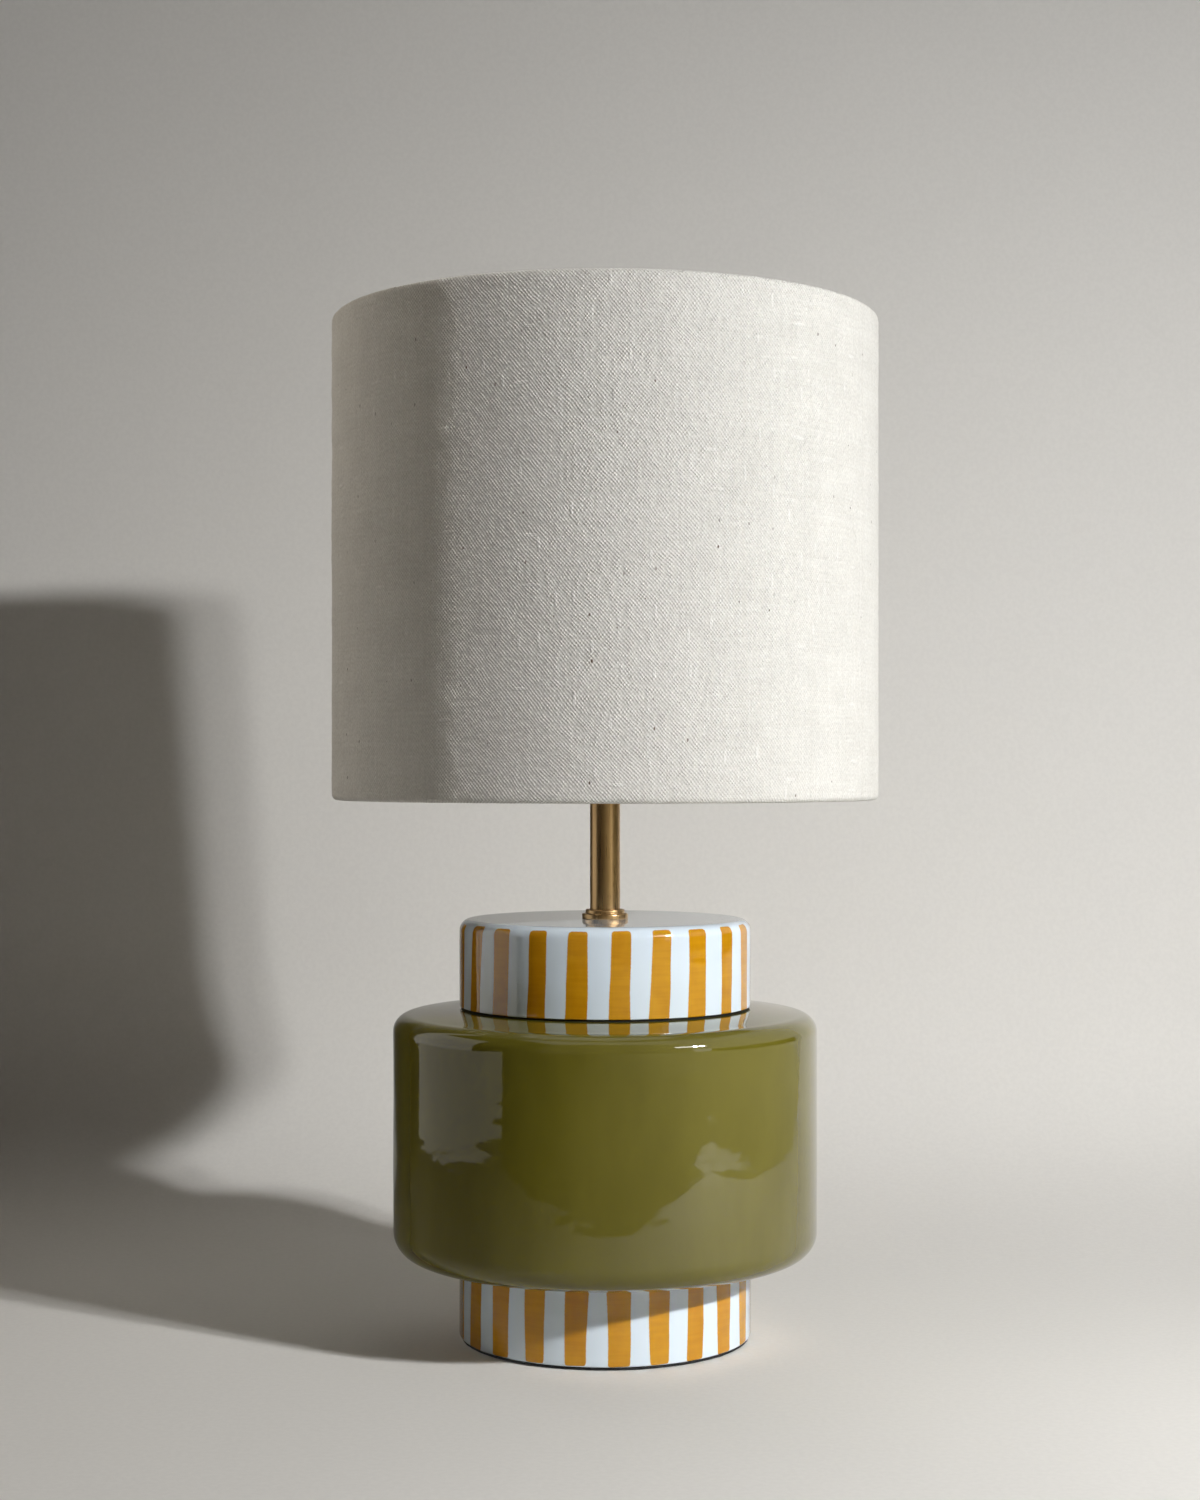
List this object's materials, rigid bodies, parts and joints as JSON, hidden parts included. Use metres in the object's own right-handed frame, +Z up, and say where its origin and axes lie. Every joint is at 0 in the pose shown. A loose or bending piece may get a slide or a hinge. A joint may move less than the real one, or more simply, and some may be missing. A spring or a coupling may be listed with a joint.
{
  "type": "ceramic table lamp",
  "caption": "Table lamp of stacked round ceramic pieces, striped discs above and below a green drum, with a brass stem, a push switch and a straight linen drum shade.",
  "frame": {"origin": "on the table under the lamp's axis", "axes": "+Z up along the stem, +Y to the back where the cord enters, X along the switch bar"},
  "size_m": [0.3, 0.3, 0.5585],
  "materials": {
    "olive_glaze": "gloss",
    "striped_glaze": "gloss",
    "linen": "matte",
    "shade_film": "satin",
    "brass": "satin",
    "steel": "satin",
    "white_wire": "satin",
    "felt": "matte",
    "black_rubber": "matte",
    "clear_washer": "satin",
    "fibreboard": "matte",
    "porcelain": "satin",
    "black_plastic": "satin",
    "white_plastic": "satin",
    "opal_plastic": "satin",
    "nickel": "satin",
    "circuit_board": "matte",
    "brown_sleeve": "satin",
    "blue_sleeve": "satin",
    "earth_sleeve": "satin"
  },
  "bodies": {
    "base": {"base_felt": "felt", "base_cover": "fibreboard", "foot_disc": "striped_glaze", "lower_gasket": "black_rubber", "body_drum": "olive_glaze", "upper_gasket": "black_rubber", "top_disc": "striped_glaze", "lamp_pipe": "steel", "clamp_plate": "steel", "earth_tag": "brass", "lock_washer": "steel", "clamp_nut": "brass", "flange_washer": "clear_washer", "stem_flange": "brass", "stem_tube": "brass", "stem_cap": "brass", "lampholder_cup": "brass", "lampholder_skirt": "brass", "lampholder_core": "porcelain", "screw_shell": "brass", "centre_contact": "brass", "live_terminal": "brass", "neutral_terminal": "brass", "lower_shade_ring": "black_plastic", "cord_bush": "black_rubber", "terminal_block": "white_plastic", "pole_screws": "steel", "block_screws": "steel", "live_wire": "brown_sleeve", "neutral_wire": "blue_sleeve", "earth_wire": "earth_sleeve"},
    "shade": {"shade_fabric": "linen", "shade_liner": "shade_film", "shade_top_ring": "white_wire", "shade_bottom_ring": "white_wire", "fitter_hub": "white_wire", "fitter_spokes": "white_wire"},
    "clamp_ring": {"upper_shade_ring": "black_plastic"},
    "bulb": {"bulb_globe": "opal_plastic", "bulb_housing": "white_plastic", "bulb_cap": "nickel", "bulb_insulator": "black_plastic", "bulb_tip": "nickel", "led_board": "circuit_board", "driver_board": "circuit_board"},
    "switch": {"switch_bar": "black_plastic", "switch_bridge": "brass"}
  },
  "joints": [
    {"name": "shade_swivel", "type": "hinge", "parent": "base", "child": "shade", "pos_m": [0, 0, 0.34], "axis": [0, 0, 1], "continuous": true},
    {"name": "clamp_ring_unscrew", "type": "slide", "parent": "base", "child": "clamp_ring", "axis": [0, 0, 1], "range_m": [0, 0.012]},
    {"name": "bulb_lift", "type": "slide", "parent": "base", "child": "bulb", "axis": [0, 0, 1], "range_m": [0, 0.225]},
    {"name": "switch_push", "type": "slide", "parent": "base", "child": "switch", "axis": [1, 0, 0], "range_m": [0, 0.006]}
  ]
}
